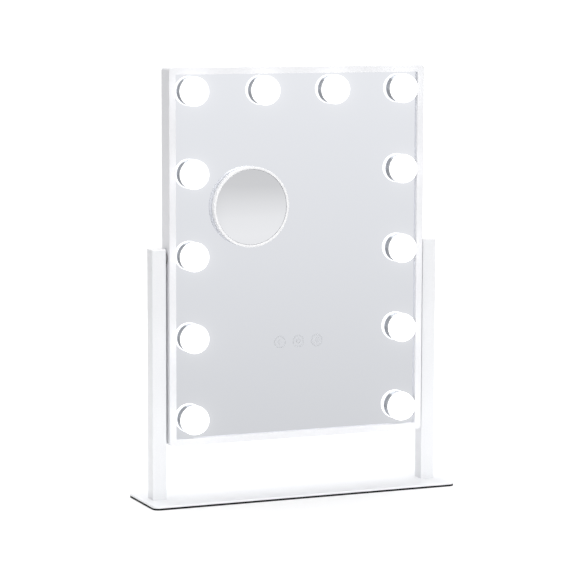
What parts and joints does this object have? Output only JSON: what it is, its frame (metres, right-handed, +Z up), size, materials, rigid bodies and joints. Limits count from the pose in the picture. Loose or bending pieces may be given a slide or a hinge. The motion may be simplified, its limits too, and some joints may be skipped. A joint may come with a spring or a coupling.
{
  "type": "lighted vanity mirror",
  "caption": "Tabletop mirror with a slim white frame tilting between two square posts on a flat base, round frosted bulbs on three sides, touch pads and a round stick-on magnifier.",
  "frame": {"origin": "middle of the base's underside, on the table", "axes": "+Z up; the mirror faces -Y, so +X is to a viewer's right; the tilt axis is parallel to X"},
  "size_m": [0.36, 0.084, 0.4724],
  "materials": {
    "painted_steel_white": "white powder coat, fine satin",
    "painted_aluminium_white": "white powder coat, fine satin",
    "abs_white_gloss": "moulded white ABS, glossy",
    "silvered_glass": "float glass, silvered on the back",
    "opal_polycarbonate": "frosted opal, lit from inside",
    "chrome_plate": "bright plated",
    "eva_foam_black": "black foam sheet, matt",
    "silicone_clear": "soft clear silicone",
    "zinc_steel": "zinc plated",
    "nylon_white": "natural nylon",
    "abs_white_matt": "moulded white ABS, fine texture",
    "foam_tape_grey": "double-sided foam tape",
    "circuit_board": "solder-masked fibreglass",
    "ribbon_cable": "flat flexible cable",
    "wire_sleeve": "wires in a white sleeve",
    "abs_black": "moulded black"
  },
  "bodies": {
    "stand": {"base_plate": "painted_steel_white", "base_pad": "eva_foam_black", "left_post": "painted_steel_white", "right_post": "painted_steel_white", "post_caps": "abs_white_gloss", "foot_inserts": "zinc_steel", "base_screws": "zinc_steel", "pivot_inserts": "zinc_steel", "left_pivot_bolt": "zinc_steel", "right_pivot_bolt": "zinc_steel", "friction_washers": "nylon_white", "spring_washers": "zinc_steel"},
    "mirror_head": {"frame_top_rail": "painted_aluminium_white", "frame_right_rail": "painted_aluminium_white", "frame_bottom_rail": "painted_aluminium_white", "frame_left_rail": "painted_aluminium_white", "mirror_glass": "silvered_glass", "bulb_dome_01": "opal_polycarbonate", "bulb_dome_02": "opal_polycarbonate", "bulb_dome_03": "opal_polycarbonate", "bulb_dome_04": "opal_polycarbonate", "bulb_dome_05": "opal_polycarbonate", "bulb_dome_06": "opal_polycarbonate", "bulb_dome_07": "opal_polycarbonate", "bulb_dome_08": "opal_polycarbonate", "bulb_dome_09": "opal_polycarbonate", "bulb_dome_10": "opal_polycarbonate", "bulb_dome_11": "opal_polycarbonate", "bulb_dome_12": "opal_polycarbonate", "bulb_collar_01": "chrome_plate", "bulb_collar_02": "chrome_plate", "bulb_collar_03": "chrome_plate", "bulb_collar_04": "chrome_plate", "bulb_collar_05": "chrome_plate", "bulb_collar_06": "chrome_plate", "bulb_collar_07": "chrome_plate", "bulb_collar_08": "chrome_plate", "bulb_collar_09": "chrome_plate", "bulb_collar_10": "chrome_plate", "bulb_collar_11": "chrome_plate", "bulb_collar_12": "chrome_plate", "left_pivot_bracket": "zinc_steel", "right_pivot_bracket": "zinc_steel", "bracket_rivets": "zinc_steel", "bulb_nuts": "zinc_steel", "back_panel_screws": "zinc_steel", "back_panel": "abs_white_matt", "inner_tray": "abs_white_matt", "glass_tape": "foam_tape_grey", "control_board": "circuit_board", "touch_board": "circuit_board", "led_boards": "circuit_board", "touch_ribbon": "ribbon_cable", "wire_loom": "wire_sleeve", "dc_inlet": "abs_black"},
    "magnifier": {"magnifier_rim": "abs_white_gloss", "magnifier_mirror": "silvered_glass", "magnifier_back": "abs_white_gloss", "suction_cups": "silicone_clear"}
  },
  "joints": [
    {"name": "head_tilt", "type": "hinge", "parent": "stand", "child": "mirror_head", "pos_m": [0, 0, 0.2674], "axis": [1, 0, 0], "continuous": true},
    {"name": "magnifier_lift_off", "type": "slide", "parent": "mirror_head", "child": "magnifier", "axis": [0, -1, 0], "range_m": [0, 0.06]}
  ]
}
